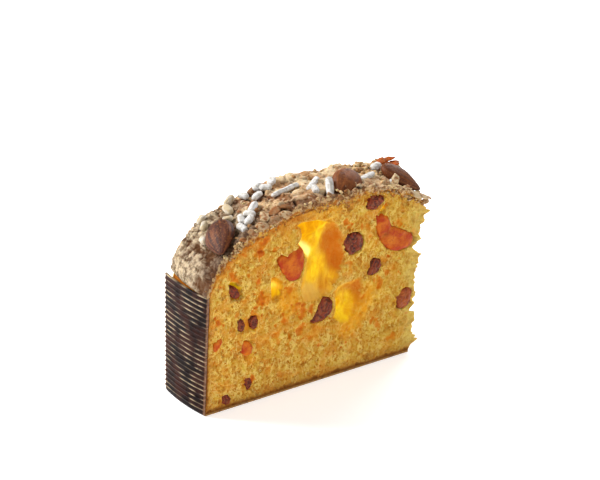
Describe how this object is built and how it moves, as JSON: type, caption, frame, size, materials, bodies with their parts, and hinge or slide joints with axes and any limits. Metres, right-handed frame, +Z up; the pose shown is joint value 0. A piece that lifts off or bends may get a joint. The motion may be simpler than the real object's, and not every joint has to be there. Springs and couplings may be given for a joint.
{
  "type": "colomba cake slice",
  "caption": "Torn half slice of an Easter dove cake with raisins, candied peel and cracked almond glaze, standing in its paper case strip.",
  "frame": {"origin": "middle of the slice's footprint, on the surface it stands on", "axes": "+X along the cut, from the paper case to the torn end; +Y across the slice, from the front cut to the back cut; +Z up"},
  "size_m": [0.1429, 0.0376, 0.1084],
  "materials": {
    "sponge_crumb": "open yellow sponge crumb with thin brown crusts, soft and slightly translucent",
    "almond_glaze": "baked almond and sugar glaze, beige, cracked and matt, with white pearl sugar",
    "case_paper": "dark brown corrugated baking paper, slightly glossy on the ridges",
    "almond_skin": "brown ridged almond skin, satin",
    "raisin_skin": "wrinkled dark brown raisin skin, moist",
    "candied_peel": "translucent candied orange peel, moist"
  },
  "bodies": {
    "root": {"crumb": "sponge_crumb", "glaze": "almond_glaze", "paper_case": "case_paper", "almond_left": "almond_skin", "almond_middle": "almond_skin", "almond_right": "almond_skin", "raisin_under_glaze": "raisin_skin", "raisin_upper": "raisin_skin", "raisin_half_hidden": "raisin_skin", "raisin_middle": "raisin_skin", "raisin_torn_edge": "raisin_skin", "raisin_small": "raisin_skin", "raisin_left": "raisin_skin", "raisin_left_twin": "raisin_skin", "raisin_low": "raisin_skin", "raisin_bottom": "raisin_skin", "raisin_back_1": "raisin_skin", "raisin_back_2": "raisin_skin", "raisin_back_3": "raisin_skin", "raisin_back_4": "raisin_skin", "raisin_back_5": "raisin_skin", "peel_large": "candied_peel", "peel_torn_edge": "candied_peel", "peel_small": "candied_peel", "peel_sliver": "candied_peel", "peel_back_1": "candied_peel", "peel_back_2": "candied_peel"}
  },
  "joints": []
}
